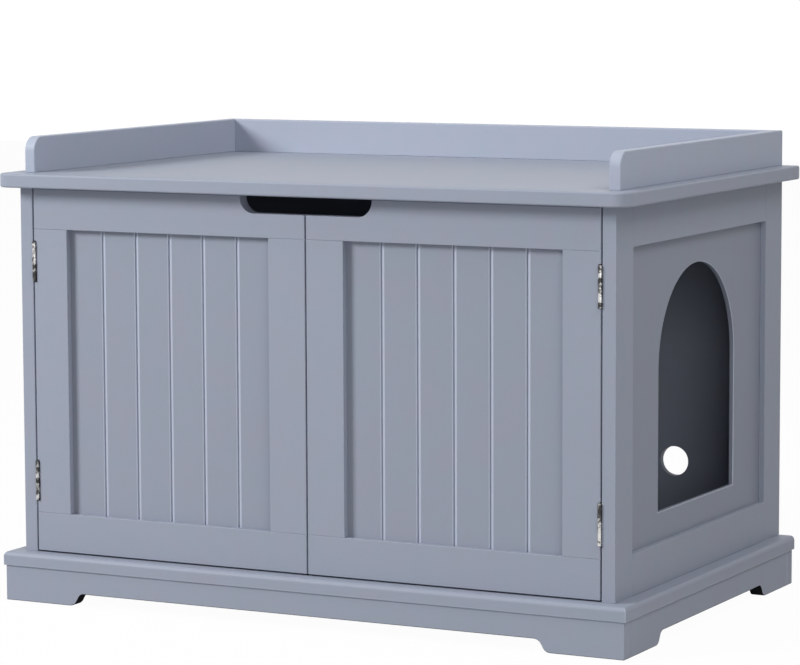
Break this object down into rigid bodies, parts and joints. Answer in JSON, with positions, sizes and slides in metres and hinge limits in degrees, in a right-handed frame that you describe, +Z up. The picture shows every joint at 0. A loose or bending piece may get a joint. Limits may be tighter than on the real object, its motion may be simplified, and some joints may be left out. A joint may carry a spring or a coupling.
{
  "type": "cat litter box cabinet",
  "caption": "Bench cabinet that hides a cat litter box, with hinged beadboard doors, an arched entry in its side, a guard rail round the top and a bracket-foot plinth.",
  "frame": {"origin": "on the floor, at the centre of the bounding box's footprint", "axes": "+Z up, +X to the right of someone facing the doors, +Y from the doors to the back"},
  "size_m": [0.888, 0.568, 0.604],
  "materials": {
    "painted_wood": "satin blue-grey paint on wood board",
    "bare_wood": "unpainted, smooth",
    "hinge_nickel": "satin nickel plate",
    "screw_steel": "zinc plated",
    "cam_zinc": "bare die-cast zinc",
    "catch_steel": "zinc plated",
    "catch_plastic": "fine matt moulded"
  },
  "bodies": {
    "cabinet": {"back_panel": "painted_wood", "back_panel_screws": "screw_steel", "base_board": "painted_wood", "bench_top": "painted_wood", "cam_bolts": "screw_steel", "cam_locks": "cam_zinc", "catch_poles": "catch_steel", "catch_screws": "hinge_nickel", "dowels": "bare_wood", "front_plinth": "painted_wood", "guard_rail_screws": "screw_steel", "left_front_stile": "painted_wood", "left_guard_rail": "painted_wood", "left_lower_hinge_pin": "hinge_nickel", "left_lower_post_leaf": "hinge_nickel", "left_magnetic_catch": "catch_plastic", "left_plinth": "painted_wood", "left_rear_stile": "painted_wood", "left_side_bottom_rail": "painted_wood", "left_side_panel": "painted_wood", "left_side_top_rail": "painted_wood", "left_upper_hinge_pin": "hinge_nickel", "left_upper_post_leaf": "hinge_nickel", "plinth_corner_blocks": "bare_wood", "post_hinge_screws": "hinge_nickel", "rear_guard_rail": "painted_wood", "rear_plinth": "painted_wood", "right_front_stile": "painted_wood", "right_guard_rail": "painted_wood", "right_lower_hinge_pin": "hinge_nickel", "right_lower_post_leaf": "hinge_nickel", "right_magnetic_catch": "catch_plastic", "right_plinth": "painted_wood", "right_rear_stile": "painted_wood", "right_side_bottom_rail": "painted_wood", "right_side_panel": "painted_wood", "right_side_top_rail": "painted_wood", "right_upper_hinge_pin": "hinge_nickel", "right_upper_post_leaf": "hinge_nickel"},
    "left_door": {"left_door_bottom_rail": "painted_wood", "left_door_hinge_stile": "painted_wood", "left_door_meeting_stile": "painted_wood", "left_door_panel": "painted_wood", "left_door_screws": "hinge_nickel", "left_door_top_rail": "painted_wood", "left_lower_door_leaf": "hinge_nickel", "left_strike_plate": "catch_steel", "left_upper_door_leaf": "hinge_nickel"},
    "right_door": {"right_door_bottom_rail": "painted_wood", "right_door_hinge_stile": "painted_wood", "right_door_meeting_stile": "painted_wood", "right_door_panel": "painted_wood", "right_door_screws": "hinge_nickel", "right_door_top_rail": "painted_wood", "right_lower_door_leaf": "hinge_nickel", "right_strike_plate": "catch_steel", "right_upper_door_leaf": "hinge_nickel"}
  },
  "joints": [
    {"name": "left_door_hinge", "type": "hinge", "parent": "cabinet", "child": "left_door", "pos_m": [-0.3994, -0.2608, 0.301], "axis": [0, 0, -1], "range_deg": [0, 170]},
    {"name": "right_door_hinge", "type": "hinge", "parent": "cabinet", "child": "right_door", "pos_m": [0.3994, -0.2608, 0.301], "axis": [0, 0, 1], "range_deg": [0, 170]}
  ]
}
